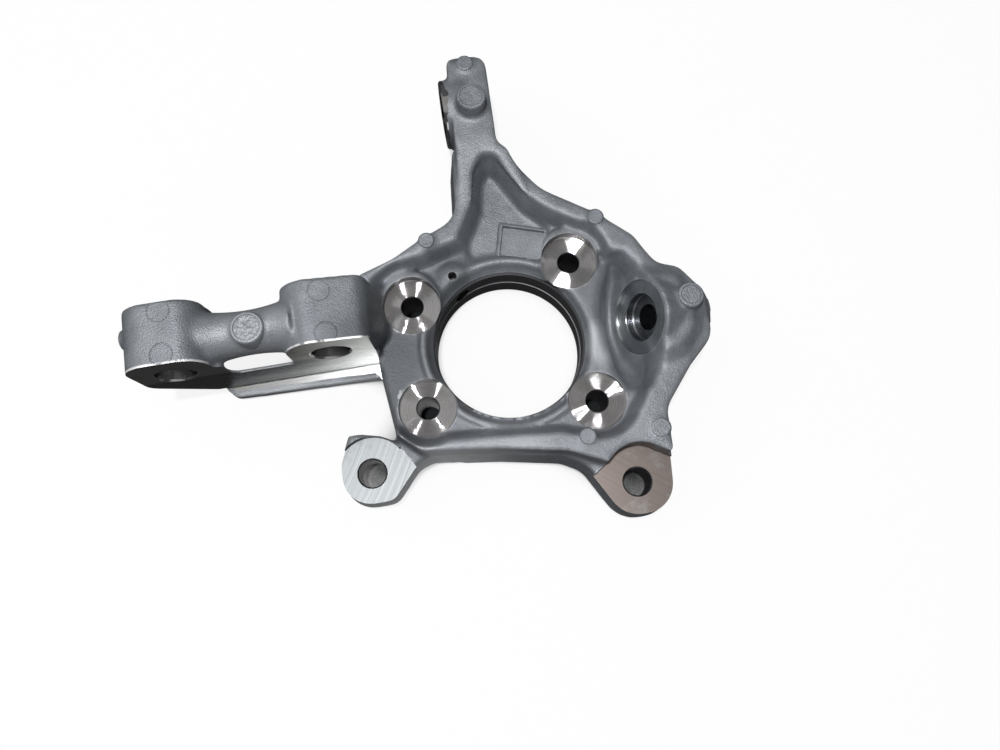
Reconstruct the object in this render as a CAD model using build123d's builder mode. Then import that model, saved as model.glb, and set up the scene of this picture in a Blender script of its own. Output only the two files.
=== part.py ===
"""Front steering knuckle, a one-piece aluminium casting with machined seats.

The part lies on its outboard hub face. The origin is on the axis of the hub bore, in that face.
+Z runs along the bore to the inboard side, +X towards the ball joint, and +Y towards the steering arm.
The strut bolts run along Y. All sizes are in millimetres and degrees.
"""
from build123d import *
import os
from math import cos, radians, sin

os.makedirs("parts", exist_ok=True)

# Hub seat
bore_d = 88.2
bore_rim_z = 25.0
bore_flare = 32.0
bore_ridge_r = 52.6
bore_ridge_z = 32.6
shelf_length = 30.0
shelf_width = 56.0
bore_edge = 1.2
hub_face_d = 148.0
hub_face_step = 3.0
hub_bolt_d = 13.0
hub_bolt_pcd = 124.8
hub_bolt_angle_ball = 44.6
hub_bolt_angle_strut = 149.8
spotface_d = 34.4
spotface_z = 29.6
spotface_pocket_r = 18.8

# Hub body and its rim of ribs
floor_z = 31.0
rib_top_z = 42.0
pocket_line_z = 36.5
body_draft = 4.0
pocket_draft = 26.0
web_z = 27.5
plate_depth = 1.2
web_relief_depth = 15.0
web_relief_draft = 8.0
pad_depth = 14.0
pad_draft = 3.0

# Strut lug: two bolt bosses, a round neck and a thin web with a ledge
strut_hole_d = 22.0
strut_hole_edge = 1.0
strut_upper_x = -187.4
strut_upper_z = 52.9
strut_lower_x = -102.2
strut_lower_z = 48.9
strut_face_y = 5.7
strut_width = 35.5
strut_boss_half = 23.0
strut_boss_rise = 24.8
strut_boss_lean = 2.0
strut_lower_step = 1.8
lug_end_x = -209.0
gate_r = 6.5
gate_rise = 3.6
gate_y = 28.0
gate_z = 60.0
gate_draft = 10.0
lug_root_x = -76.0
lug_web_edge = 1.6
lug_web_root = 9.0
lug_web_top_z = 38.5
ledge_depth = 6.4
ledge_root_depth = 9.2
ledge_z = 8.0
ledge_base_z = 1.5
ledge_groove = 1.2
neck_r = 12.5
neck_flare = 3.5
neck_y = 22.0
neck_z = 58.0

# Caliper ears
ear_hole_d = 16.0
ear_hole_edge = 0.8
ear_left_x = -91.5
ear_left_y = -62.8
ear_left_r = 17.2
ear_right_x = 58.8
ear_right_y = -93.6
ear_right_r = 18.6
ear_back_z = 7.0
ear_face_z = 25.0
ear_shoulder_z = 31.0
ear_cutter_r = 20.8
ear_flare = 1.6
ear_draft = 5.0

# Ball joint boss, leaning out of the hub plane towards the bore
ball_x = 79.0
ball_y = 1.5
ball_z = 33.0
ball_lean = 26.3
ball_boss_d = 50.5
ball_boss_length = 38.0
ball_boss_bevel = 8.0
ball_boss_bevel_angle = 42.0
ball_outer_seat_d = 35.0
ball_seat_d = 45.0
ball_seat_depth = 1.4
ball_counterbore_d = 28.0
ball_counterbore_depth = 7.0
ball_hole_d = 16.0
ball_shoulder_rise = 6.0
ball_shoulder_draft = 52.0
hollow_line_z = 32.0
hollow_foot_z = 9.0
hollow_ends_z = 34.0
hollow_reach = 42.5
hollow_draft = 18.0
hollow_lip_draft = 30.0

# Steering arm and its track rod seat
rod_y = 156.0
rod_z = 29.5
rod_hole_d = 14.0
rod_seat_d = 29.0
rod_seat_depth = 3.5
rod_boss_d = 42.0
rod_face_x = -15.5
rod_back_x = 13.6
rod_back_d = 24.0
arm_top_z = 48.0
arm_base_z = 8.0
arm_tip_y = 186.5
arm_left_x = -10.5
arm_right_x = 15.0

# Wheel speed sensor
sensor_screw_d = 5.0
sensor_screw_depth = 10.0
sensor_pad_r = 11.0
sensor_pad_rise = 3.0
sensor_pad_draft = 40.0
sensor_x = -27.0
sensor_y = 45.5
sensor_hole_d = 10.0
sensor_hole_z = 16.5
sensor_angle = 120.5

underside_z = 0.6
reach = 400.0


def along(angle, radius):
    """Point on a circle round the hub axis."""
    return (radius * cos(radians(angle)), radius * sin(radians(angle)))


def outline(corners):
    """Closed outline through corners given as x, y and rounding radius."""
    points = [(x, y) for x, y, _ in corners]
    return FilletPolyline(*points, radius=[r for _, _, r in corners], close=True)


hub_bolts = [
    along(hub_bolt_angle_ball, hub_bolt_pcd / 2),
    along(hub_bolt_angle_strut, hub_bolt_pcd / 2),
    along(-hub_bolt_angle_strut, hub_bolt_pcd / 2),
    along(-hub_bolt_angle_ball, hub_bolt_pcd / 2),
]
strut_back_y = strut_face_y + strut_width

# Planes of the leaning ball joint seat and of the track rod seat
ball_seat = Plane(
    origin=(ball_x, ball_y, ball_z),
    x_dir=(0, 1, 0),
    z_dir=(-cos(radians(ball_lean)), 0, sin(radians(ball_lean))),
)
rod_seat = Plane(origin=(rod_face_x, rod_y, rod_z), x_dir=(0, 1, 0), z_dir=(-1, 0, 0))
sensor_axis = Plane(origin=(0, 0, sensor_hole_z), z_dir=(*along(sensor_angle, 1), 0))

# Outer line of the hub body at its base, from the arm's left root round by the strut side
body_corners = [
    (arm_left_x - 6.5, 126, 3),
    (arm_left_x - 11.5, 81, 14),
    (-44, 71.5, 20),
    (-62, 62, 20),
    (lug_root_x - 9, 54.5, 3),
    (lug_root_x - 7, 38, 4),
    (lug_root_x - 3.5, -12, 30),
    (-76, -46, 6),
    (-62, -60, 10),
    (-17, -66, 30),
    (20, -73.5, 20),
    (42, -84, 10),
    (82, -84, 6),
    (84, -57, 12),
    (104, -34, 20),
    (120, -20, 18),
    (121.5, 10, 18),
    (109, 29, 12),
    (96.5, 33.5, 8),
    (86.5, 53, 14),
    (66, 72, 25),
    (37, 92, 30),
    (19, 119, 8),
    (arm_right_x - 1, 126, 3),
]

# Half-height line of the pocket's drafted walls inside the ribs
pocket_corners = [
    (7, 117, 4),
    (-1, 106, 8),
    (-6, 83, 18),
    (-18, 64, 12),
    (-42, 57, 14),
    (-62, 54.5, 14),
    (-74, 47, 8),
    (-78, 30, 6),
    (-96, 4, 6),
    (-96, -36, 6),
    (-72, -43, 10),
    (-52, -50.5, 12),
    (-20, -53, 40),
    (20, -57.5, 20),
    (36, -63, 10),
    (56, -60, 10),
    (67, -50, 10),
    (74, -38, 12),
    (75.5, -22, 8),
    (75.5, 24, 8),
    (70.5, 41, 6),
    (63.5, 46, 6),
    (63, 56, 10),
    (50, 65, 10),
    (38, 73, 20),
    (22, 86, 20),
    (13, 102, 10),
]

# Deeper web pocket below the steering arm, at its foot
web_corners = [
    (6.5, 112, 3),
    (1, 104, 8),
    (-3, 84, 18),
    (-14, 65, 8),
    (-15, 54.5, 4),
    (8, 55.5, 40),
    (27, 49.5, 4),
    (38, 65, 8),
    (22, 82, 20),
    (13, 99, 8),
]
plate_corners = [(9, 75, 2), (34, 67, 2), (28, 48, 2), (4, 56, 2)]
web_relief_corners = [(5, 108, 6), (-5, 82, 5), (23, 82, 5)]

# Crest of the long hollow in front of the ball joint seat, at the height of the pocket's floor
hollow_corners = [
    (70, 42, 0),
    (59, 24, 40),
    (54.5, -2, 45),
    (59.5, -31, 30),
    (66, -44, 0),
    (73, -40, 0),
    (79, -26, 12),
    (96, -14, 20),
    (96, 16, 20),
    (79, 29, 10),
]

# Foot of the shoulder round the ball joint boss, on top of the rim
shoulder_corners = [
    (78, -34, 6),
    (100, -30, 14),
    (114, -16, 16),
    (116, 8, 16),
    (108, 25, 12),
    (96, 30, 12),
    (78, 32, 6),
]

# Hub body: drafted blank, machined hub face and the pocket within the ribs
with BuildPart() as hub_body:
    with BuildSketch(Plane.XY.offset(hub_face_step)):
        with BuildLine():
            outline(body_corners)
        make_face()
    extrude(amount=rib_top_z - hub_face_step, taper=body_draft)
    with BuildSketch(Plane.XY):
        with BuildLine():
            outline(body_corners)
        make_face()
        Circle(hub_face_d / 2, mode=Mode.INTERSECT)
    extrude(amount=hub_face_step)

# Ridge round the flared mouth of the bore, which leaves the shelf beside the hollow flat
with BuildPart() as bore_ridge:
    with BuildSketch(Plane.XY.offset(bore_rim_z)):
        Circle(bore_ridge_r + bore_ridge_z - bore_rim_z)
    extrude(amount=bore_ridge_z - bore_rim_z, taper=45)
    with BuildSketch(Plane.XY.offset(floor_z)):
        with Locations((bore_ridge_r, 0)):
            Rectangle(shelf_length, shelf_width)
    extrude(amount=rib_top_z, mode=Mode.SUBTRACT)

# Steering arm: its plan and its side view, crossed
with BuildPart() as arm:
    with BuildSketch(Plane.XY.offset(arm_base_z)):
        with BuildLine():
            outline(
                [
                    (arm_left_x - 6, 76, 0),
                    (arm_left_x - 2, 120, 20),
                    (arm_left_x + 2, arm_tip_y, 6),
                    (arm_right_x + 1, arm_tip_y - 3, 9),
                    (arm_right_x - 1.5, 124, 6),
                    (arm_right_x + 4, 118, 4),
                    (arm_right_x + 9, 104, 8),
                    (arm_right_x + 14, 76, 0),
                ]
            )
        make_face()
    extrude(amount=arm_top_z - arm_base_z)
    with BuildSketch(Plane.YZ.offset(-reach)):
        with BuildLine():
            outline(
                [
                    (70, arm_base_z, 0),
                    (126, arm_base_z, 20),
                    (rod_y - 10, rod_z - rod_boss_d / 2, 20),
                    (arm_tip_y, rod_z - rod_boss_d / 2 + 2, 12),
                    (arm_tip_y, arm_top_z, 7),
                    (126, arm_top_z - 0.5, 30),
                    (84, rib_top_z, 10),
                    (70, rib_top_z - 4, 0),
                ]
            )
        make_face()
    extrude(amount=2 * reach, mode=Mode.INTERSECT)
    with BuildSketch(rod_seat):
        Circle(rod_boss_d / 2)
    extrude(amount=rod_face_x)

# Lower strut boss: its side view crossed with its plan, running down into the pocket at the root
with BuildPart() as lower_boss:
    with BuildSketch(Plane.XZ.offset(-strut_face_y)):
        with BuildLine():
            outline(
                [
                    (strut_lower_x - strut_boss_half, strut_lower_z + strut_boss_rise + strut_boss_lean, 16),
                    (lug_root_x - 1.5, strut_lower_z + strut_boss_rise - 3 * strut_boss_lean, 9),
                    (lug_root_x + 6.5, floor_z, 0),
                    (lug_root_x + 6.5, hub_face_step, 0),
                    (strut_lower_x - strut_boss_half, hub_face_step, 6),
                ]
            )
        make_face()
    extrude(amount=-strut_width - strut_lower_step)
    with BuildSketch(Plane.XY):
        with BuildLine():
            outline(
                [
                    (strut_lower_x - strut_boss_half, strut_face_y, 0),
                    (lug_root_x - 3, strut_face_y, 0),
                    (lug_root_x + 7, strut_face_y + 10, 8),
                    (lug_root_x + 7, strut_back_y + strut_lower_step, 10),
                    (strut_lower_x - strut_boss_half, strut_back_y + strut_lower_step, 0),
                ]
            )
        make_face()
    extrude(amount=reach, mode=Mode.INTERSECT)

# Strut lug: a thin web, two bosses of full width and a neck between them
with BuildPart() as lug:
    with BuildSketch(Plane.XZ.offset(-strut_face_y)):
        with BuildLine():
            outline(
                [
                    (lug_end_x, strut_upper_z, 0),
                    (lug_end_x, strut_upper_z - 17, 12),
                    (strut_upper_x + 20, ledge_base_z, 3),
                    (lug_root_x, ledge_base_z, 0),
                    (lug_root_x, lug_web_top_z, 0),
                    (strut_upper_x + strut_boss_half + 8, lug_web_top_z, 3),
                    (strut_upper_x + strut_boss_half + 3.8, lug_web_top_z + 4.5, 3),
                    (strut_upper_x + strut_boss_half + 3.2, strut_upper_z + 4, 0),
                    (strut_upper_x, strut_upper_z + 4, 0),
                ]
            )
        make_face()
    extrude(amount=-lug_web_root)
    # The web thins towards its upper edge and rounds into the upper boss
    with BuildSketch(Plane.YZ.offset(lug_end_x)):
        with BuildLine():
            outline(
                [
                    (strut_face_y + lug_web_edge, strut_upper_z + 4, 0),
                    (strut_face_y + lug_web_edge, lug_web_top_z, 0),
                    (strut_face_y + lug_web_root, 0, 0),
                    (strut_back_y, 0, 0),
                    (strut_back_y, strut_upper_z + 4, 0),
                ]
            )
        make_face()
    extrude(amount=lug_root_x - lug_end_x, mode=Mode.SUBTRACT)
    with BuildSketch(Plane.XZ.offset(-strut_face_y)):
        with BuildLine():
            outline(
                [
                    (lug_end_x, strut_upper_z + strut_boss_rise, 14),
                    (strut_upper_x + strut_boss_half - strut_boss_lean, strut_upper_z + strut_boss_rise, 14),
                    (strut_upper_x + strut_boss_half, strut_upper_z - strut_boss_rise, 22),
                    (lug_end_x, strut_upper_z - strut_boss_rise, 20),
                ]
            )
        make_face()
    extrude(amount=-strut_width)
    add(lower_boss.part)
    # Stub of the gate on the end of the upper boss
    with BuildSketch(Plane.YZ.offset(lug_end_x + 1)):
        with Locations((gate_y, gate_z)):
            Circle(gate_r)
    extrude(amount=-gate_rise - 1, taper=gate_draft)
    # Ledge under the machined face, with a relief groove in the corner
    with BuildSketch(Plane.XY.offset(ledge_base_z)):
        with BuildLine():
            outline(
                [
                    (strut_upper_x + 12, strut_face_y + 2, 0),
                    (strut_upper_x + 18, strut_face_y - ledge_depth, 6),
                    (lug_root_x - 1, strut_face_y - ledge_root_depth, 6),
                    (lug_root_x - 1, strut_face_y + 2, 0),
                ]
            )
        make_face()
    extrude(amount=ledge_z - ledge_base_z)
    # Waisted neck between the bosses
    with BuildSketch(Plane.XY.offset(neck_z)):
        with BuildLine():
            neck_from = strut_upper_x + strut_boss_half - 6
            neck_to = strut_lower_x - strut_boss_half + 7
            ThreePointArc(
                (neck_from, neck_y + neck_r + neck_flare),
                ((neck_from + neck_to) / 2, neck_y + neck_r),
                (neck_to, neck_y + neck_r + neck_flare),
            )
            Polyline(
                (neck_to, neck_y + neck_r + neck_flare),
                (neck_to, neck_y),
                (neck_from, neck_y),
                (neck_from, neck_y + neck_r + neck_flare),
            )
        make_face()
    revolve(axis=Axis((0, neck_y, neck_z), (1, 0, 0)))

# Caliper ears on their bars, up to the cast shoulder
with BuildPart() as ears:
    with BuildSketch(Plane.XY.offset(ear_back_z)):
        with BuildLine():
            outline(
                [
                    (-55, -48, 0),
                    (-70, -50, 2),
                    (ear_left_x + 8, ear_left_y + 20.5, 10),
                    (ear_left_x - 10, ear_left_y + 25, 3),
                    (ear_left_x - ear_left_r, ear_left_y + 7, 14),
                    (ear_left_x - ear_left_r, ear_left_y - ear_left_r, 0.97 * ear_left_r),
                    (ear_left_x + 0.6 * ear_left_r, ear_left_y - ear_left_r, 8),
                    (-66, -63, 10),
                    (-53, -58.5, 10),
                    (-17, -65.5, 30),
                    (19, -73, 16),
                    (31, -80, 16),
                    (ear_right_x - 0.6 * ear_right_r, ear_right_y - ear_right_r, 0.97 * ear_right_r),
                    (ear_right_x + ear_right_r, ear_right_y - ear_right_r, 0.97 * ear_right_r),
                    (81.5, -78, 6),
                    (82, -62, 6),
                    (40, -55, 0),
                ]
            )
        make_face()
        offset(amount=ear_flare)
    extrude(amount=ear_shoulder_z - ear_back_z, taper=ear_draft)

# Ball joint boss with a bevelled outer end, flat where it would pass the hub face
with BuildPart() as ball_boss:
    with BuildSketch(ball_seat):
        Circle(ball_boss_d / 2)
    extrude(amount=ball_boss_bevel - ball_boss_length)
    with BuildSketch(ball_seat.offset(ball_boss_bevel - ball_boss_length)):
        Circle(ball_boss_d / 2)
    extrude(amount=-ball_boss_bevel, taper=ball_boss_bevel_angle)
    split(bisect_by=Plane.XY.offset(underside_z), keep=Keep.TOP)

# Shoulder that blends the boss into the rim of the hub body
with BuildPart() as ball_shoulder:
    with BuildSketch(Plane.XY.offset(rib_top_z - 1)):
        with BuildLine():
            outline(shoulder_corners)
        make_face()
    extrude(amount=ball_shoulder_rise + 1, taper=ball_shoulder_draft)

# Long hollow that opens the ball joint seat: drafted sides, a curved floor, and the seat's own plane
with BuildPart() as hollow:
    with BuildSketch(Plane.XY.offset(hollow_line_z)) as hollow_crest:
        with BuildLine():
            outline(hollow_corners)
        make_face()
    extrude(amount=hollow_foot_z - hollow_line_z, taper=hollow_draft)
    extrude(hollow_crest.sketch, amount=hollow_line_z - hollow_foot_z, taper=-hollow_lip_draft)
    with BuildSketch(Plane.YZ):
        with BuildLine():
            ThreePointArc((hollow_reach, hollow_ends_z), (0, hollow_foot_z), (-hollow_reach, hollow_ends_z))
            Polyline(
                (-hollow_reach, hollow_ends_z),
                (-hollow_reach, 2 * rib_top_z),
                (hollow_reach, 2 * rib_top_z),
                (hollow_reach, hollow_ends_z),
            )
        make_face()
    extrude(amount=reach, mode=Mode.INTERSECT)
    split(bisect_by=ball_seat, keep=Keep.TOP)

# The casting, then its machining
with BuildPart() as knuckle:
    add(hub_body.part)
    add(arm.part)
    add(ears.part)
    add(ball_boss.part)
    add(ball_shoulder.part)
    add(hollow.part, mode=Mode.SUBTRACT)
    # Pocket inside the ribs, with drafted walls and round bays for the spotfaces
    with BuildSketch(Plane.XY.offset(pocket_line_z)) as pocket_line:
        with BuildLine():
            outline(pocket_corners)
        make_face()
    extrude(amount=floor_z - pocket_line_z, taper=pocket_draft, mode=Mode.SUBTRACT)
    extrude(pocket_line.sketch, amount=rib_top_z - floor_z, taper=-pocket_draft, mode=Mode.SUBTRACT)
    for bolt in hub_bolts:
        with BuildSketch(Plane.XY.offset(floor_z)):
            with Locations(bolt):
                Circle(spotface_pocket_r)
        extrude(amount=rib_top_z - floor_z, taper=-pocket_draft, mode=Mode.SUBTRACT)
    add(lug.part)
    # Deeper web below the arm with a bare recessed plate, and the relief on its outboard side
    with BuildSketch(Plane.XY.offset(web_z)):
        with BuildLine():
            outline(web_corners)
        make_face()
    extrude(amount=rib_top_z - web_z, taper=-pocket_draft, mode=Mode.SUBTRACT)
    with BuildSketch(Plane.XY.offset(web_z - plate_depth)):
        with BuildLine():
            outline(plate_corners)
        make_face()
    extrude(amount=floor_z - web_z, mode=Mode.SUBTRACT)
    with BuildSketch(Plane.XY.offset(web_relief_depth)):
        with BuildLine():
            outline(web_relief_corners)
        make_face()
    extrude(amount=-web_relief_depth, taper=-web_relief_draft, mode=Mode.SUBTRACT)
    add(bore_ridge.part)
    # Sensor screw pad
    with BuildSketch(Plane.XY.offset(floor_z - 1)):
        with Locations((sensor_x, sensor_y)):
            Circle(sensor_pad_r)
    extrude(amount=sensor_pad_rise + 1, taper=sensor_pad_draft)
    # Ejector pads: x, y, top and radius
    for pad_x, pad_y, pad_top, pad_r in (
        (-39, 67, rib_top_z + 1.5, 4.8),
        (64, 65.5, rib_top_z + 1.5, 5.0),
        (33, -65, rib_top_z + 0.8, 5.0),
        (75, -67, rib_top_z + 0.8, 5.8),
        (106.7, 4.6, rib_top_z + 10, 7.6),
        (2, 149, arm_top_z + 9, 8.8),
        (2.5, 178, arm_top_z + 1.5, 5.3),
        ((strut_upper_x + strut_lower_x) / 2 + 3.5, neck_y - 2, neck_z + neck_r + 2, 8.6),
    ):
        with BuildSketch(Plane.XY.offset(pad_top)):
            with Locations((pad_x, pad_y)):
                Circle(pad_r)
        extrude(amount=-pad_depth, taper=-pad_draft)
    # Hub bore with its edge break and flared mouth
    with BuildSketch(Plane.XY.offset(-1)):
        Circle(bore_d / 2)
    extrude(amount=reach, mode=Mode.SUBTRACT)
    with BuildSketch(Plane.XY.offset(bore_rim_z)):
        Circle(bore_d / 2 + bore_edge)
    extrude(amount=rib_top_z - bore_rim_z, taper=-bore_flare, mode=Mode.SUBTRACT)
    # Hub bolt holes and their spotfaces
    for bolt in hub_bolts:
        with BuildSketch(Plane.XY.offset(spotface_z)):
            with Locations(bolt):
                Circle(spotface_d / 2)
        extrude(amount=rib_top_z, mode=Mode.SUBTRACT)
        with BuildSketch(Plane.XY.offset(-1)):
            with Locations(bolt):
                Circle(hub_bolt_d / 2)
        extrude(amount=rib_top_z, mode=Mode.SUBTRACT)

    # Caliper faces, cut down past the cast shoulders, and the caliper bolt holes
    for ear_x, ear_y, cutter_corners in (
        (
            ear_left_x,
            ear_left_y,
            [(-73, -51, 0), (-65, -65, 0), (-80, -90, 0), (-100, -88, 0), (-100, -60, 0)],
        ),
        (
            ear_right_x,
            ear_right_y,
            [(30, -88.5, 0), (50, -75.5, 0), (66, -74, 0), (88, -87, 0), (84, -120, 0), (40, -120, 0)],
        ),
    ):
        with BuildSketch(Plane.XY.offset(ear_face_z)):
            with BuildLine():
                outline(cutter_corners)
            make_face()
            with Locations((ear_x, ear_y)):
                Circle(ear_cutter_r)
        extrude(amount=rib_top_z, mode=Mode.SUBTRACT)
        with BuildSketch(Plane.XY.offset(-1)):
            with Locations((ear_x, ear_y)):
                Circle(ear_hole_d / 2)
        extrude(amount=rib_top_z, mode=Mode.SUBTRACT)
        with BuildSketch(Plane.XY.offset(ear_face_z)):
            with Locations((ear_x, ear_y)):
                Circle(ear_hole_d / 2 + ear_hole_edge)
        extrude(amount=-2 * ear_hole_edge, taper=45, mode=Mode.SUBTRACT)
    # Strut bolt holes with edge breaks, and the relief groove over the ledge
    for hole_x, hole_z in ((strut_upper_x, strut_upper_z), (strut_lower_x, strut_lower_z)):
        with BuildSketch(Plane.XZ.offset(-strut_face_y)):
            with Locations((hole_x, hole_z)):
                Circle(strut_hole_d / 2)
        extrude(amount=-strut_width - strut_lower_step, mode=Mode.SUBTRACT)
        with BuildSketch(Plane.XZ.offset(-strut_face_y)):
            with Locations((hole_x, hole_z)):
                Circle(strut_hole_d / 2 + strut_hole_edge)
        extrude(amount=-2 * strut_hole_edge, taper=45, mode=Mode.SUBTRACT)
    with BuildSketch(Plane.YZ.offset(lug_root_x - 2)):
        with Locations((strut_face_y, ledge_z + ledge_groove)):
            Circle(ledge_groove)
    extrude(amount=strut_upper_x - lug_root_x + 2, mode=Mode.SUBTRACT)
    # Ball joint seats on both sides, counterbore and hole
    with BuildSketch(ball_seat):
        Circle(ball_seat_d / 2)
    extrude(amount=-ball_seat_depth, mode=Mode.SUBTRACT)
    with BuildSketch(ball_seat):
        Circle(ball_counterbore_d / 2)
    extrude(amount=-ball_counterbore_depth, mode=Mode.SUBTRACT)
    with BuildSketch(ball_seat):
        Circle(ball_hole_d / 2)
    extrude(amount=-ball_boss_length, mode=Mode.SUBTRACT)
    with BuildSketch(ball_seat.offset(-ball_boss_length)):
        Circle(ball_outer_seat_d / 2)
    extrude(amount=-ball_boss_length, mode=Mode.SUBTRACT)
    # Track rod seats on both sides, and the hole
    with BuildSketch(rod_seat):
        Circle(rod_seat_d / 2)
    extrude(amount=-rod_seat_depth, mode=Mode.SUBTRACT)
    with BuildSketch(rod_seat):
        Circle(rod_hole_d / 2)
    extrude(amount=-reach, mode=Mode.SUBTRACT)
    with BuildSketch(Plane.YZ.offset(rod_back_x)):
        with Locations((rod_y, rod_z)):
            Circle(rod_back_d / 2)
    extrude(amount=reach, mode=Mode.SUBTRACT)
    # Sensor screw hole, and the sensor hole from the outside through to the bore
    with BuildSketch(Plane.XY.offset(floor_z + sensor_pad_rise)):
        with Locations((sensor_x, sensor_y)):
            Circle(sensor_screw_d / 2)
    extrude(amount=-sensor_screw_depth, mode=Mode.SUBTRACT)
    with BuildSketch(sensor_axis):
        Circle(sensor_hole_d / 2)
    extrude(amount=reach, mode=Mode.SUBTRACT)

knuckle.part.label = "knuckle"
export_step(knuckle.part, "parts/knuckle.step")
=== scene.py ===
"""Looks of the steering knuckle: one aluminium casting with blasted skin and machined seats.

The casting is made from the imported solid: its machined places are filled with stock again, the edges are
rounded as in a mould, and then the same seats, faces and holes are cut with sharp tools that leave their own
finish. Lengths in the tables are millimetres in the part's own frame, and MM turns them into metres.
"""

from math import cos, pi, radians, sin

import bmesh
import bpy
import numpy as np
from mathutils import Matrix, Vector, noise


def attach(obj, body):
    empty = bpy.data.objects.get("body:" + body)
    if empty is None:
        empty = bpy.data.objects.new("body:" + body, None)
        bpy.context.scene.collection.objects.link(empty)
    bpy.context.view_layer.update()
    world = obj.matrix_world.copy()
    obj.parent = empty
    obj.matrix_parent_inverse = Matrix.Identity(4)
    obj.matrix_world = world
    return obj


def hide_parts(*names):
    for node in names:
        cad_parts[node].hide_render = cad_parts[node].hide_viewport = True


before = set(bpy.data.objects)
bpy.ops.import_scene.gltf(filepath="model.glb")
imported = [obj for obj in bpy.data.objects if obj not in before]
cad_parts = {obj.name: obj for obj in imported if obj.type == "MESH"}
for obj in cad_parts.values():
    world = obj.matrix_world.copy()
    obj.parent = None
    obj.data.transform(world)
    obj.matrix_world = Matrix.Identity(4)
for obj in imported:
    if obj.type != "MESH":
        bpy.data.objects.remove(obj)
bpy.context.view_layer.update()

MM = 0.001
X_AXIS = Vector((1, 0, 0))
Y_AXIS = Vector((0, 1, 0))
Z_AXIS = Vector((0, 0, 1))

# Sizes of the machined places, as in the part's source
BORE_R = 44.1
BORE_STEP_R = 44.7
BORE_STEP_Z = 12.5
BORE_RIM_Z = 25.0
HUB_BOLT_R = 6.5
HUB_BOLTS = [(62.4 * cos(radians(a)), 62.4 * sin(radians(a))) for a in (44.6, 149.8, -149.8, -44.6)]
SPOTFACE_R = 17.2
SPOTFACE_Z = 29.6
FLOOR_Z = 31.0
# Stock left on the rib side of the two upper spotfaces, so that their cutter leaves a turned wall there
CRESCENT_Z = 35.5
CRESCENTS = [(HUB_BOLTS[0], (0.5, 4.2)), (HUB_BOLTS[1], (-0.8, 4.2))]
STRUT_FACE_Y = 5.7
STRUT_HOLE_R = 11.0
STRUT_HOLES = [(-187.4, 52.9), (-102.2, 48.9)]
STRUT_BACKS_Y = [41.2, 43.0]
LEDGE_Z = 8.0
EAR_FACE_Z = 25.0
EAR_SHOULDER_Z = 31.0
EAR_HOLE_R = 8.0
EAR_HOLES = [(-91.5, -62.8), (58.8, -93.6)]
EAR_CUTTER_R = 20.8
# Ground plan of each ear's milled face, beside the round that the mill clears about the hole
EAR_OUTLINES = [
    [(-73, -51), (-65, -65), (-80, -90), (-100, -88), (-100, -60)],
    [(30, -88.5), (50, -75.5), (66, -74), (88, -87), (84, -120), (40, -120)],
]
# Cutters go on up to CLEAR_Z, past the casting there, or to POCKET_Z inside a pocket or a wider cut
CLEAR_Z = 60
POCKET_Z = 40
BALL_CENTRE = Vector((79.0, 1.5, 33.0))
BALL_AXIS = Vector((-cos(radians(26.3)), 0, sin(radians(26.3))))
BALL_LENGTH = 38.0
ROD_CENTRE = Vector((-15.5, 156.0, 29.5))
ROD_BACK_X = 13.6
SENSOR_SCREW = (-27.0, 45.5)
SENSOR_ANGLE = 120.5

# Raised ejector pads: place, top, radius, how far in their pressed ring lies and how uneven the middle is
PADS = [
    (-39, 67, 43.6, 4.8, 1.2, 0.06),
    (64, 65.5, 43.6, 5.0, 1.2, 0.06),
    (33, -65, 42.9, 5.0, 1.3, 0.06),
    (75, -67, 42.9, 5.8, 1.4, 0.06),
    (106.7, 4.6, 52.1, 7.6, 1.8, 0.06),
    (2, 149, 57.1, 8.8, 1.6, 0.06),
    (2.5, 178, 49.6, 5.3, 1.2, 0.06),
    (-141.3, 20, 72.7, 9.0, 1.6, 0.4),
]
# Ejector marks pressed a little into the tops of the strut bosses, the lower one of which slopes
LOWER_TOP = Vector((8, 0, 47.7)).normalized()
MARKS = [
    ((-185, 35, 77.7), Z_AXIS),
    ((-185, 11, 77.7), Z_AXIS),
    ((-101, 35, 71.6), LOWER_TOP),
    ((-100, 10.5, 71.45), LOWER_TOP),
]
# Bare recessed plate in the web pocket below the arm
PLATE = [(9, 75), (34, 67), (28, 48), (4, 56)]
PLATE_Z = 26.3
LIP_Z = 27.4
LIP_R = 1.9

# The blasted skin's colour from its dark to its light blotches
SKIN_DARK = (0.165, 0.177, 0.195)
SKIN_LIGHT = (0.285, 0.302, 0.325)
# Tones of painted light and of painted shade laid on the skin
PAINTED_LIGHT = (0.62, 0.64, 0.67)
PAINTED_SHADE = (0.05, 0.055, 0.062)
# Wide soft patches of painted light and painted shade on the skin: centre, full and outer reach, share and
# tone
PAINTED_LIGHT_AND_SHADE = [
    ((-73, -12, 0), 14, 38, 0.65, PAINTED_SHADE),
    ((-28, 40, 0), 8, 20, 0.4, PAINTED_SHADE),
    ((53, -10, 0), 4, 11, 0.45, PAINTED_LIGHT),
    ((-141, 22, 0), 14, 30, 0.2, PAINTED_LIGHT),
    ((-10, -61, 0), 8, 30, 0.2, PAINTED_LIGHT),
]
# Spacing of the rings that a turning tool leaves and of the arcs that a face mill leaves
TURNED_PITCH = 0.3
MILLED_PITCH = 0.9

# How finely the mould's skin is meshed, and the most triangles it may keep
SKIN_VOXEL = 1.15
SKIN_TRIANGLES = 170000
SHARP = radians(32)
FLOOR_REACH = 6000


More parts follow.
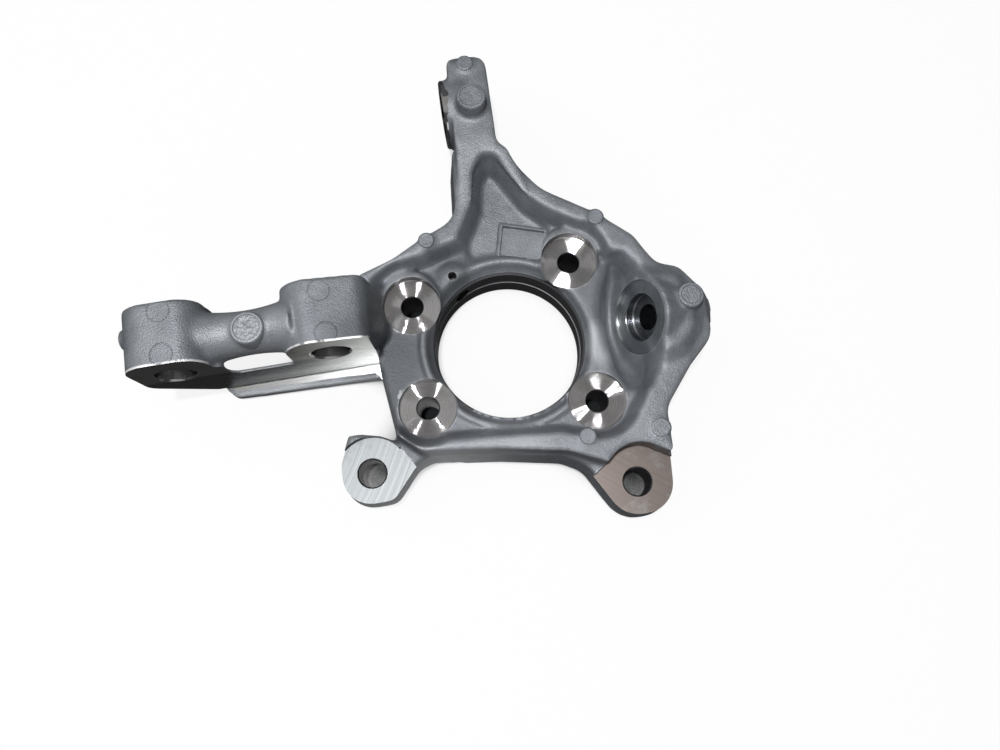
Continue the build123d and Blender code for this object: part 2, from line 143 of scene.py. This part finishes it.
class Value:
    """A shader socket, so that maths on values reads as Python and adds its own nodes."""

    def __init__(self, finish, socket):
        self.finish = finish
        self.socket = socket

    def maths(self, operation, *others):
        return self.finish.node("ShaderNodeMath", {"operation": operation}, dict(enumerate((self, *others))))

    def __add__(self, other):
        return self.maths("ADD", other)

    __radd__ = __add__

    def __mul__(self, other):
        return self.maths("MULTIPLY", other)

    __rmul__ = __mul__

    def __sub__(self, other):
        return self.maths("SUBTRACT", other)

    def __rsub__(self, other):
        return self * -1 + other

    def ramp(self, low, high):
        """0 below low, 1 above high, and a smooth step between them."""
        return self.finish.node(
            "ShaderNodeMapRange",
            {"interpolation_type": "SMOOTHSTEP"},
            {"Value": self, "From Min": low, "From Max": high, "To Min": 0.0, "To Max": 1.0},
        )


class Finish:
    """A material under construction."""

    def __init__(self, name):
        self.material = bpy.data.materials.new(name)
        self.material.use_nodes = True
        self.tree = self.material.node_tree
        self.tree.nodes.clear()
        self.place = self.node("ShaderNodeTexCoord", out="Object")

    def node(self, kind, settings=None, inputs=None, out=0):
        """Adds a node, with its settings first and then the values or links of its sockets."""
        made = self.tree.nodes.new(kind)
        for key, setting in (settings or {}).items():
            setattr(made, key, setting)
        for key, given in (inputs or {}).items():
            if isinstance(given, Value):
                self.tree.links.new(given.socket, made.inputs[key])
            else:
                made.inputs[key].default_value = given
        return Value(self, made.outputs[out]) if made.outputs else None

    def vector(self, operation, *operands, out=0):
        return self.node("ShaderNodeVectorMath", {"operation": operation}, dict(enumerate(operands)), out)

    def along(self, axis):
        """Place of the shaded point along X, Y or Z, in metres."""
        return self.node("ShaderNodeSeparateXYZ", None, {"Vector": self.place}, axis)

    def noise(self, scale, detail=3.0, roughness=0.55, place=None):
        """Noise between 0 and 1, with scale in features per metre."""
        inputs = {"Vector": place or self.place, "Scale": scale, "Detail": detail, "Roughness": roughness}
        return self.node("ShaderNodeTexNoise", None, inputs)

    def bands(self, radius, scale, detail):
        """Noise that changes with the radius alone, for the uneven marks of a cutter that goes round."""
        inputs = {"W": radius, "Scale": scale, "Detail": detail}
        return self.node("ShaderNodeTexNoise", {"noise_dimensions": "1D"}, inputs)

    def grooves(self, radius, pitch):
        """Even waves across the radius, one for each pitch in millimetres."""
        return (radius * (2 * pi / (pitch * MM))).maths("SINE")

    def grains(self, scale):
        """Distance to the nearest of scattered points, for dimples and blasting marks."""
        return self.node("ShaderNodeTexVoronoi", None, {"Vector": self.place, "Scale": scale}, "Distance")

    def mix(self, factor, first, second):
        """Colour mix, 0 for the first and 1 for the second."""
        inputs = {0: factor, 6: colour(first), 7: colour(second)}
        return self.node("ShaderNodeMix", {"data_type": "RGBA"}, inputs, 2)

    def bump(self, height, strength, distance):
        inputs = {"Height": height, "Strength": strength, "Distance": distance}
        return self.node("ShaderNodeBump", None, inputs)

    def metal(self, base, roughness, normal, metallic=1.0):
        surface = self.node(
            "ShaderNodeBsdfPrincipled",
            None,
            {"Base Color": base, "Roughness": roughness, "Metallic": metallic, "Normal": normal},
        )
        self.node("ShaderNodeOutputMaterial", None, {"Surface": surface})
        return self.material


def colour(given):
    """A colour socket's value: a link, or red, green and blue with full alpha."""
    return given if isinstance(given, Value) else (*given, 1.0)


def cast_skin(name, bends_worn_and_shaded=True):
    """Blasted casting skin: fine grain, soft blotches and darker specks, with painted light and shade laid
    over them; with its bends option on, lighter ridges (edge wear and painted highlight) and darker creases
    (painted shade).
    """
    f = Finish(name)
    blotches = f.noise(28, 4, 0.6)
    clouds = f.noise(110, 5, 0.65)
    grain = f.noise(1300, 2, 0.8)
    shot = f.grains(1000)
    blotch_mix = (blotches * 0.4 + clouds * 0.3 + grain * 0.4).ramp(0.36, 0.74)
    base = f.mix(blotch_mix, SKIN_DARK, SKIN_LIGHT)
    height = f.along("Z")
    # Painted shade: the skin is darkened most near 30 mm up, where the pocket floors lie, fading out by 43 mm
    painted_low_shade = (1 - height.ramp(0.03, 0.043)) * height.ramp(0.028, 0.0305)
    base = f.mix(painted_low_shade * 0.35, base, (0.09, 0.095, 0.105))
    # Painted light and painted shade: soft patches that lighten or darken the skin round given centres
    for centre, inner, outer, share, painted_tone in PAINTED_LIGHT_AND_SHADE:
        offset = f.vector("SUBTRACT", f.place, tuple(c * MM for c in centre))
        away = f.vector("LENGTH", f.vector("MULTIPLY", offset, (1, 0.6, 0)), out="Value")
        base = f.mix((1 - away.ramp(inner * MM, outer * MM)) * share, base, painted_tone)
    # Painted highlight on the top of the ridge round the bore
    painted_rim_highlight = (1 - ring_distance(f, (0, 0, 0), Z_AXIS).ramp(0.047, 0.053)) * height.ramp(0.033, 0.036)
    base = f.mix(painted_rim_highlight * 0.4, base, PAINTED_LIGHT)
    if bends_worn_and_shaded:
        # Sharp bends low on the part: lighter ridges, partly edge wear and partly painted highlight, and
        # darker creases, which are painted shade
        bends = f.node("ShaderNodeNewGeometry", out="Pointiness")
        low = 1 - height.ramp(0.045, 0.055)
        base = f.mix(bends.ramp(0.5, 0.57) * low * 0.6, base, (0.5, 0.515, 0.54))
        base = f.mix((1 - bends.ramp(0.44, 0.5)) * low * 0.5, base, (0.06, 0.064, 0.072))
    # Painted glare: near-white patches on the skin along the top edge of the lug face
    painted_glare = (1 - f.along("Y").ramp(0.0064, 0.0072)) * height.ramp(0.06, 0.066) * clouds.ramp(0.35, 0.5)
    base = f.mix(painted_glare, base, (0.95, 0.95, 0.95))
    specks = f.noise(420, 3, 0.7).ramp(0.66, 0.74) * f.noise(22, 2).ramp(0.5, 0.62)
    base = f.mix(specks * 0.5, base, (0.11, 0.11, 0.115))
    rough = clouds * 0.14 + grain * 0.14 + 0.36
    relief = grain * 0.9 + shot * 0.7 + clouds * 1.6
    return f.metal(base, rough, f.bump(relief, 0.7, 0.00025), 0.48)


def ring_distance(f, centre, axis):
    """Distance of the shaded point from an axis, in metres."""
    offset = f.vector("SUBTRACT", f.place, tuple(c * MM for c in centre))
    return f.vector("LENGTH", f.vector("CROSS_PRODUCT", offset, tuple(axis)), out="Value")


def turned(name, axes, base=(0.46, 0.455, 0.455), rough=0.06, depth=0.00005):
    """Turned metal with fine rings round the nearest of some axes, each a centre and a direction."""
    f = Finish(name)
    rings = [ring_distance(f, centre, axis) for centre, axis in axes]
    radius = rings[0]
    for other in rings[1:]:
        radius = radius.maths("MINIMUM", other)
    band = f.bands(radius, 1300, 2)
    stain = f.noise(55, 4, 0.6).ramp(0.45, 0.75)
    tone = f.mix(stain * 0.3, base, tuple(c * 0.75 for c in base))
    tone = f.mix(band.ramp(0.35, 0.75) * 0.35, tone, tuple(c * 1.25 for c in base))
    height = f.grooves(radius, TURNED_PITCH) * 0.5 + band * 1.2
    return f.metal(tone, stain * 0.03 + band * 0.03 + rough, f.bump(height, 0.7, depth))


def milled(name, base, centre, rough, stain_colour, mottle, stains=70):
    """Milled metal: arcs of a face mill about a far centre, with patches of stain and handling marks."""
    f = Finish(name)
    radius = ring_distance(f, centre, Z_AXIS)
    band = f.bands(radius, 900, 5)
    stain = f.noise(stains, 7, 0.68).ramp(*mottle)
    tone = f.mix(band.ramp(0.3, 0.8) * 0.45, base, tuple(c * 0.62 for c in base))
    tone = f.mix(stain * 0.8, tone, stain_colour)
    height = f.grooves(radius, MILLED_PITCH) * 0.3 + band
    return f.metal(tone, stain * -0.08 + band * 0.08 + rough, f.bump(height, 0.6, 0.00001))


def lug_finish():
    """Milled face and ledge of the strut lug, brownish at the far end, with a painted reflection that makes
    them bright at the root.
    """
    f = Finish("milled_lug")
    band = f.bands(ring_distance(f, (0, -900, -900), X_AXIS), 1100, 5)
    sheet = f.noise(60, 5, 0.65, f.vector("MULTIPLY", f.place, (0.25, 1, 1)))
    # Painted reflection: the face and the ledge are made lighter towards the lug's root
    root = (f.along("X") + sheet * 0.03).ramp(-0.13, -0.06)
    web = 1 - f.along("Z").ramp(0.041, 0.046)
    ledge = 1 - f.along("Y").ramp(0.005, 0.0056)
    tone = f.mix(web, (0.33, 0.315, 0.305), (0.09, 0.095, 0.095))
    tone = f.mix(root * root, tone, (0.38, 0.393, 0.38))
    tone = f.mix(ledge, tone, f.mix(root, (0.3, 0.3, 0.3), (0.75, 0.76, 0.76)))
    tone = f.mix(sheet.ramp(0.5, 0.66) * 0.4, tone, (0.2, 0.2, 0.19))
    tone = f.mix(band.ramp(0.5, 0.8) * 0.2, tone, (0.7, 0.71, 0.71))
    return f.metal(tone, sheet * 0.12 + band * 0.1 + 0.18, f.bump(band * 1.6 + sheet, 0.6, 0.00005))


def mesh_object(name, points, faces):
    """A mesh object from points in millimetres."""
    mesh = bpy.data.meshes.new(name)
    mesh.from_pydata([Vector(point) * MM for point in points], [], faces)
    made = bpy.data.objects.new(name, mesh)
    bpy.context.scene.collection.objects.link(made)
    return made


def lathe(name, profile, centre, axis=Z_AXIS, steps=96):
    """A closed round body from (radius, height) pairs whose first and last radius are 0."""
    turn = Vector((0, 0, 1)).rotation_difference(Vector(axis)).to_matrix()
    centre = Vector(centre)
    points, rings = [], []
    for radius, height in profile:
        if radius == 0:
            rings.append([len(points)])
            points.append(centre + turn @ Vector((0, 0, height)))
            continue
        rings.append(list(range(len(points), len(points) + steps)))
        for step in range(steps):
            angle = 2 * pi * step / steps
            points.append(centre + turn @ Vector((radius * cos(angle), radius * sin(angle), height)))
    faces = []
    for low, high in zip(rings, rings[1:]):
        for step in range(steps):
            after = (step + 1) % steps
            if len(low) == 1:
                faces.append((low[0], high[after], high[step]))
            elif len(high) == 1:
                faces.append((low[step], low[after], high[0]))
            else:
                faces.append((low[step], low[after], high[after], high[step]))
    return mesh_object(name, points, faces)


def rod(name, radius, low, high, centre, axis=Z_AXIS, steps=96):
    """A plain round bar between two heights along its axis."""
    return lathe(name, [(0, low), (radius, low), (radius, high), (0, high)], centre, axis, steps)


def prism(name, outline, low, high, across=Z_AXIS):
    """A straight-sided body over a closed outline: x, y pairs up along Z, or x, z pairs along Y."""
    count = len(outline)
    if across == Z_AXIS:
        points = [(x, y, h) for h in (low, high) for x, y in outline]
    else:
        points = [(x, h, z) for h in (high, low) for x, z in outline]
    faces = [tuple(range(count - 1, -1, -1)), tuple(range(count, 2 * count))]
    faces += [(i, (i + 1) % count, count + (i + 1) % count, count + i) for i in range(count)]
    return mesh_object(name, points, faces)


def settled(obj):
    """Gives obj the mesh that its modifiers make, without the modifiers."""
    mesh = bpy.data.meshes.new_from_object(obj.evaluated_get(bpy.context.evaluated_depsgraph_get()))
    obj.modifiers.clear()
    old = obj.data
    obj.data = mesh
    bpy.data.meshes.remove(old)


def stock():
    """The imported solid, with stock left on its machined faces and in its holes."""
    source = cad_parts["knuckle"]
    body = source.copy()
    body.data = source.data.copy()
    body.name = "knuckle_casting"
    body.parent = None
    body.modifiers.clear()
    bpy.context.scene.collection.objects.link(body)
    grown = bmesh.new()
    grown.from_mesh(body.data)
    bmesh.ops.remove_doubles(grown, verts=grown.verts, dist=1e-6)
    for normal, level, lift in (
        (-Z_AXIS, 0.0, 2.0),
        (-Y_AXIS, -STRUT_FACE_Y, 1.6),
        (Z_AXIS, EAR_FACE_Z, EAR_SHOULDER_Z - EAR_FACE_Z),
    ):
        faces = [
            face
            for face in grown.faces
            if face.normal.dot(normal) > 0.999
            and abs(face.calc_center_median().dot(normal) / MM - level) < 0.05
            and not (normal == Z_AXIS and face.calc_center_median().y > -0.035)
        ]
        made = bmesh.ops.extrude_face_region(grown, geom=faces)["geom"]
        moved = [part for part in made if isinstance(part, bmesh.types.BMVert)]
        bmesh.ops.translate(grown, verts=moved, vec=normal * lift * MM)
        bmesh.ops.delete(grown, geom=faces, context="FACES_ONLY")
    grown.to_mesh(body.data)
    grown.free()
    fills = [rod("fill", BORE_R + 0.8, -2, BORE_RIM_Z, (0, 0, 0))]
    fills += [rod("fill", SPOTFACE_R + 0.4, -2, FLOOR_Z, (x, y, 0)) for x, y in HUB_BOLTS]
    fills += [
        rod("fill", SPOTFACE_R + 0.4, 20, CRESCENT_Z, (x + dx, y + dy, 0)) for (x, y), (dx, dy) in CRESCENTS
    ]
    fills += [rod("fill", EAR_HOLE_R + 1.2, 7, EAR_SHOULDER_Z, (x, y, 0)) for x, y in EAR_HOLES]
    fills += [
        rod("fill", STRUT_HOLE_R + 1.4, STRUT_FACE_Y - 1.6, back, (x, 0, z), Y_AXIS)
        for (x, z), back in zip(STRUT_HOLES, STRUT_BACKS_Y)
    ]
    fills.append(rod("fill", 22.8, -BALL_LENGTH + 1, 0, BALL_CENTRE, BALL_AXIS))
    fills.append(rod("fill", 14.8, 0, ROD_BACK_X - ROD_CENTRE.x + 1, ROD_CENTRE, X_AXIS))
    fills.append(rod("fill", 3, 18, 34, (*SENSOR_SCREW, 0)))
    bpy.context.view_layer.objects.active = body
    for part in bpy.context.selected_objects:
        part.select_set(False)
    for part in (body, *fills):
        part.select_set(True)
    bpy.ops.object.join()
    return body


def rounded(body):
    """Meshes the stock as one skin and rounds it, most in the ribbed pocket and least on the lug's web."""
    remesh = body.modifiers.new("skin", "REMESH")
    remesh.mode = "VOXEL"
    remesh.voxel_size = SKIN_VOXEL * MM
    settled(body)
    mesh = body.data
    count = len(mesh.vertices)
    place = np.empty(count * 3)
    mesh.vertices.foreach_get("co", place)
    place = place.reshape(-1, 3) / MM
    ends = np.empty(len(mesh.edges) * 2, dtype=int)
    mesh.edges.foreach_get("vertices", ends)
    first, second = ends[0::2], ends[1::2]
    degree = np.bincount(ends, minlength=count)
    x, y, z = place.T
    give = np.full(count, 0.5)
    lug = np.clip((-74 - x) / 8, 0, 1) * (y > -20)
    ears = np.clip((-58 - y) / 8, 0, 1)
    web = lug * (z < 45) * (y < 18)
    give *= (1 - 0.3 * lug) * (1 - 0.35 * ears) * (1 - 0.85 * web)
    hollow = 0.5 * np.clip((x - 48) / 8, 0, 1) * np.clip((96 - x) / 8, 0, 1)
    hollow *= np.clip((48 - abs(y)) / 8, 0, 1)
    mound = 0.5 * np.clip(2.2 - np.hypot(x - SENSOR_SCREW[0], y - SENSOR_SCREW[1]) / 9, 0, 1) * (z > 20)
    edge = 0.5 * np.clip((-60 - x) / 6, 0, 1) * np.clip((x + 82) / 6, 0, 1)
    edge *= np.clip((2 - y) / 6, 0, 1) * np.clip((y + 52) / 8, 0, 1) * (z > 12)
    for weight, rounds in ((give, 8), (hollow, 10), (mound, 24), (edge, 16)):
        for _ in range(rounds):
            for k in range(3):
                total = np.bincount(first, place[second, k], count)
                total += np.bincount(second, place[first, k], count)
                place[:, k] += weight * (total / degree - place[:, k])
    mesh.vertices.foreach_set("co", (place * MM).ravel())
    mesh.update()


def thinned(body):
    """Brings the skin under its number of triangles."""
    body.data.calc_loop_triangles()
    count = len(body.data.loop_triangles)
    if count > SKIN_TRIANGLES:
        fewer = body.modifiers.new("fewer", "DECIMATE")
        fewer.ratio = SKIN_TRIANGLES / count
        settled(body)


def combined(body, operation, parts):
    """Adds the parts to the casting or cuts them out of it; each leaves its own material on its faces."""
    for part, finish in parts:
        part.data.materials.append(finish)
        step = body.modifiers.new(part.name, "BOOLEAN")
        step.operation = operation
        step.solver = "MANIFOLD"
        step.material_mode = "TRANSFER"
        step.object = part
    settled(body)
    for part, _ in parts:
        bpy.data.objects.remove(part)


def crisp(body):
    """Smooth shading, with sharp edges at corners and wherever one finish meets another."""
    edges = bmesh.new()
    edges.from_mesh(body.data)
    for face in edges.faces:
        face.smooth = True
    for edge in edges.edges:
        finishes = [face.material_index for face in edge.link_faces]
        same = len(finishes) == 2 and finishes[0] == finishes[1]
        edge.smooth = same and edge.calc_face_angle() < SHARP
    edges.to_mesh(body.data)
    edges.free()


def ejector_pad(x, y, top, radius, ring, crumple):
    """A raised round pad with a soft edge, a pressed ring, deeper on wide pads, and an uneven middle."""
    inner = radius - ring
    press = 0.5 if radius > 6 else 0.1
    top += press
    middle = top - press * 0.6
    profile = [(0, top - 9), (radius + 0.6, top - 9), (radius + 0.2, top - 1.1), (radius - 0.1, top - 0.5)]
    profile += [(radius - 0.6, top - 0.1), (inner, top)]
    profile += [(inner - 0.4, top - press), (inner - 0.8, top - press)]
    profile += [(inner * (0.88 - 0.09 * k), middle) for k in range(10)]
    pad = lathe("ejector_pad", profile + [(0, middle)], (x, y, 0), steps=64)
    for vertex in pad.data.vertices:
        away = (vertex.co / MM - Vector((x, y, 0))).to_2d().length
        if vertex.co.z / MM > top - 0.4 and away < inner * 0.9:
            vertex.co.z += crumple * MM * noise.noise(vertex.co * 600)
    return pad


def plate_lip():
    """Raised round border of the recessed plate, one bar and one ball for each of its sides."""
    middle = sum((Vector((x, y, 0)) for x, y in PLATE), Vector()) / len(PLATE)
    corners = [middle + (Vector((x, y, 0)) - middle) * 1.06 + Vector((0, 0, LIP_Z)) for x, y in PLATE]
    ball = [(LIP_R * sin(pi * k / 8), -LIP_R * cos(pi * k / 8)) for k in range(9)]
    ball[0], ball[8] = (0, -LIP_R), (0, LIP_R)
    parts = []
    for start, end in zip(corners, corners[1:] + corners[:1]):
        parts.append(rod("plate_lip", LIP_R, 0, (end - start).length, start, (end - start).normalized(), 24))
        parts.append(lathe("plate_lip", ball, start, Z_AXIS, 24))
    return parts


def hub_tools():
    """Cutters of the hub face, the bore, and the bolt holes with their spotfaces."""
    bore = [
        (0, -5),
        (BORE_R, -5),
        (BORE_R, BORE_STEP_Z),
        (BORE_STEP_R, BORE_STEP_Z + 0.3),
        (BORE_STEP_R, BORE_RIM_Z - 0.6),
        (BORE_STEP_R + 1.0, BORE_RIM_Z + 0.4),
        (BORE_STEP_R + 1.0, CLEAR_Z),
        (0, CLEAR_Z),
    ]
    seat = [
        (0, SPOTFACE_Z),
        (SPOTFACE_R - 0.5, SPOTFACE_Z),
        (SPOTFACE_R, SPOTFACE_Z + 0.5),
        (SPOTFACE_R, CLEAR_Z),
        (0, CLEAR_Z),
    ]
    hole = [(0, -5), (HUB_BOLT_R, -5), (HUB_BOLT_R, SPOTFACE_Z - 0.5)]
    hole += [(HUB_BOLT_R + 1, SPOTFACE_Z + 0.5), (0, POCKET_Z)]
    tools = [
        (rod("tool_hub_face", 400, -20, 0, (0, 0, 0)), lug_milled),
        (lathe("tool_bore", bore, (0, 0, 0), steps=192), bore_turned),
    ]
    for x, y in HUB_BOLTS:
        tools.append((lathe("tool_spotface", seat, (x, y, 0), steps=144), bright_seats))
        tools.append((lathe("tool_hub_bolt", hole, (x, y, 0)), drilled))
    return tools


def ear_tools():
    """Cutters of the caliper ears: the milled face, the round cleared about the hole, and the hole."""
    hole = [(0, -5), (EAR_HOLE_R, -5), (EAR_HOLE_R, EAR_FACE_Z - 0.8)]
    hole += [(EAR_HOLE_R + 1.3, EAR_FACE_Z + 0.5), (0, POCKET_Z)]
    tools = []
    for (x, y), outline, finish in zip(EAR_HOLES, EAR_OUTLINES, ear_finishes):
        shoulder = rod("tool_ear_shoulder", EAR_CUTTER_R, EAR_FACE_Z, CLEAR_Z, (x, y, 0), steps=128)
        tools.append((prism("tool_ear_face", outline[::-1], EAR_FACE_Z, CLEAR_Z), finish))
        tools.append((shoulder, finish))
        tools.append((lathe("tool_ear_hole", hole, (x, y, 0)), drilled))
    return tools


def lug_tools():
    """Cutters of the strut lug: the face down to its ledge, the groove in the corner and the cross holes."""
    outline = [(-260, LEDGE_Z), (-78, LEDGE_Z), (-78, 120), (-260, 120)]
    groove = rod("tool_relief_groove", 1.2, 0, 136, (-214, STRUT_FACE_Y, LEDGE_Z + 1.2), X_AXIS, 24)
    hole = [
        (0, -20),
        (STRUT_HOLE_R + 1.5, -20),
        (STRUT_HOLE_R + 1.5, STRUT_FACE_Y - 0.5),
        (STRUT_HOLE_R, STRUT_FACE_Y + 1),
        (STRUT_HOLE_R, CLEAR_Z),
        (0, CLEAR_Z),
    ]
    tools = [(prism("tool_strut_face", outline, -40, STRUT_FACE_Y, Y_AXIS), lug_milled), (groove, lug_milled)]
    return tools + [(lathe("tool_strut_hole", hole, (x, 0, z), Y_AXIS), rod_turned) for x, z in STRUT_HOLES]


def ball_tools():
    """Cutters of the leaning ball joint seat, its counterbore and its hole, all on one axis."""
    seat = [(0, -1.4), (22.1, -1.4), (22.5, -1.0), (22.8, 3), (0, 3)]
    counterbore = [
        (0, -BALL_LENGTH - 20),
        (17.5, -BALL_LENGTH - 20),
        (17.5, -BALL_LENGTH),
        (8, -BALL_LENGTH),
        (8, -7),
        (13.2, -7),
        (14, -6.2),
        (14, -1.9),
        (15, -0.9),
        (0, 3),
    ]
    return [
        (lathe("tool_ball_seat", seat, BALL_CENTRE, BALL_AXIS, steps=144), ball_turned),
        (lathe("tool_ball_counterbore", counterbore, BALL_CENTRE, BALL_AXIS, steps=144), ball_counterbore),
    ]


def rod_tools():
    """Cutter of the track rod hole with the seats at both of its ends."""
    seats = [(0, -30), (14.5, -30), (14.5, 3.5), (7, 3.5), (7, 29.1), (12, 29.1), (12, CLEAR_Z), (0, CLEAR_Z)]
    return [(lathe("tool_rod_seat", seats, ROD_CENTRE, X_AXIS), rod_turned)]


def small_tools():
    """Cutters of the sensor screw, the ejector marks, the bare plate and the sensor hole."""
    screw = [(0, 23), (2.5, 24), (2.5, 33.4), (3.3, 34.2), (3.3, 50), (0, 50)]
    mark = [(0, -0.2), (5.5, -0.25), (5.8, -0.5), (6.3, -0.5), (6.6, 0.8), (0, 0.8)]
    outwards = Vector((cos(radians(SENSOR_ANGLE)), sin(radians(SENSOR_ANGLE)), 0))
    tools = [(lathe("tool_sensor_screw", screw, (*SENSOR_SCREW, 0), steps=48), drilled)]
    tools += [(lathe("tool_ejector_mark", mark, place, axis, 64), pressed) for place, axis in MARKS]
    tools.append((prism("tool_plate", PLATE[::-1], PLATE_Z, POCKET_Z), pressed))
    tools.append((rod("tool_sensor_hole", 5, 0, 120, (0, 0, 16.5), outwards, 48), drilled))
    return tools


def raised_forms():
    """What stands on the skin: pads, the plate's border, the turned end of the rod boss, the gate's stub."""
    end = [(0, 0), (20.1, 0), (20.9, 0.8), (20.9, 5.5), (20.2, 6.5), (0, 6.5)]
    gate = [(0, 3), (6.4, 3), (5.6, -2.6), (4.6, -3.3), (0, -3.5)]
    forms = [(ejector_pad(*pad), pressed) for pad in PADS] + [(part, pressed) for part in plate_lip()]
    forms.append((lathe("track_rod_boss", end, ROD_CENTRE, X_AXIS, 144), rod_turned))
    forms.append((lathe("gate_stub", gate, (-209, 28, 60), X_AXIS, 32), pressed))
    return forms


ball_axes = [(BALL_CENTRE, BALL_AXIS)]
bolt_axes = [((x, y, 0), Z_AXIS) for x, y in HUB_BOLTS]
skin = cast_skin("cast_skin")
pressed = cast_skin("cast_pressed", bends_worn_and_shaded=False)
bright_seats = turned("turned_spotface", bolt_axes)
ball_turned = turned("turned_ball_seat", ball_axes, (0.58, 0.6, 0.61), 0.14, 0.00004)
ball_counterbore = turned("turned_ball_counterbore", ball_axes, (0.24, 0.25, 0.265), 0.25, 0.00004)
rod_turned = turned("turned_rod_seat", [(ROD_CENTRE, X_AXIS)])
# Painted shade: the bore's wall and the drilled holes get a dark base colour, though their bare metal is
# bright
bore_turned = turned("bored_hub", [((0, 0, 0), Z_AXIS)], (0.17, 0.17, 0.178), 0.45, 0.00002)
drilled = turned("drilled_hole", bolt_axes, (0.1, 0.1, 0.105), 0.4)
lug_milled = lug_finish()
ear_finishes = [
    milled(
        "milled_ear_left", (0.2, 0.21, 0.216), (-300, 60, 0), 0.44, (0.08, 0.085, 0.09), (0.47, 0.66), 120
    ),
    milled("milled_ear_right", (0.17, 0.145, 0.135), (330, 260, 0), 0.36, (0.27, 0.26, 0.25), (0.52, 0.72)),
]

casting = stock()
rounded(casting)
thinned(casting)
casting.data.materials.clear()
casting.data.materials.append(skin)
tools = hub_tools() + ear_tools() + lug_tools() + ball_tools() + rod_tools() + small_tools()
combined(casting, "UNION", raised_forms())
combined(casting, "DIFFERENCE", tools)
crisp(casting)

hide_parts("knuckle")
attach(casting, "root")


def floor_finish():
    """Plain pale floor: white to the camera, shadow near the part, and darker where the metal reflects it."""
    f = Finish("floor")
    seen = f.node("ShaderNodeLightPath", out="Is Camera Ray")
    openness = f.node("ShaderNodeAmbientOcclusion", {"samples": 16}, {"Distance": 0.03}, "AO")
    x, y = f.along("X"), f.along("Y")
    lit = x.ramp(-0.15, -0.07) * (1 - x.ramp(-0.05, 0.0)) * y.ramp(-0.16, -0.06) * (1 - y.ramp(0.0, 0.02))
    dark = f.mix(lit, (0.06, 0.06, 0.06), (0.8, 0.8, 0.78))
    tone = f.mix(seen, dark, f.mix(openness.ramp(0.15, 0.5), (0.02, 0.022, 0.023), (0.85, 0.85, 0.86)))
    plain = f.node("ShaderNodeBsdfDiffuse", None, {"Color": tone})
    glow = f.node("ShaderNodeEmission", None, {"Color": (1, 1, 1, 1), "Strength": 1.02})
    shown = seen * openness.ramp(0.2, 0.55) * 0.85
    surface = f.node("ShaderNodeMixShader", None, {0: shown, 1: plain, 2: glow})
    f.node("ShaderNodeOutputMaterial", None, {"Surface": surface})
    return f.material


floor_corners = [(FLOOR_REACH * x, FLOOR_REACH * y, -0.2) for x, y in ((-1, -1), (1, -1), (1, 1), (-1, 1))]
floor = mesh_object("floor", floor_corners, [(0, 1, 2, 3)])
floor.data.materials.append(floor_finish())


def lamp(name, place, aim, size, power, tint=(1, 1, 1)):
    """A square soft lamp, placed and aimed in metres."""
    data = bpy.data.lights.new(name, "AREA")
    data.shape = "RECTANGLE"
    data.size, data.size_y = size
    data.energy = power
    data.color = tint
    made = bpy.data.objects.new(name, data)
    made.location = place
    made.rotation_euler = (Vector(aim) - Vector(place)).to_track_quat("-Z", "Y").to_euler()
    bpy.context.scene.collection.objects.link(made)


lamp("key", (-0.23, -0.02, 1.8), (-0.02, 0.02, 0), (0.1, 0.1), 22)
lamp("ceiling", (0.1, 0.3, 2.2), (0, 0, 0), (2.4, 2.2), 5, (1.0, 0.95, 0.9))
lamp("left", (-1.4, 0.7, 1.2), (0, 0, 0), (1.8, 1.6), 7)
lamp("front", (0.1, -1.5, 0.7), (0, 0, 0), (1.6, 0.8), 3.5)

world = bpy.data.worlds.new("studio")
world.use_nodes = True
bpy.context.scene.world = world
sky = world.node_tree.nodes["Background"]
sky.inputs["Color"].default_value = (0.92, 0.95, 1.0, 1.0)
sky.inputs["Strength"].default_value = 0.14

camera_data = bpy.data.cameras.new("photo_camera")
camera_data.lens = 27
camera_data.sensor_width = 36
camera = bpy.data.objects.new("photo_camera", camera_data)
camera.matrix_world = (
    Matrix.Translation((-0.0359, -0.1180, 0.4607))
    @ Matrix.Rotation(radians(-9.7), 4, "Z")
    @ Matrix.Rotation(0.2331, 4, "X")
    @ Matrix.Rotation(-0.0219, 4, "Y")
)
bpy.context.scene.collection.objects.link(camera)
bpy.context.scene.camera = camera
bpy.context.scene.view_settings.view_transform = "Standard"
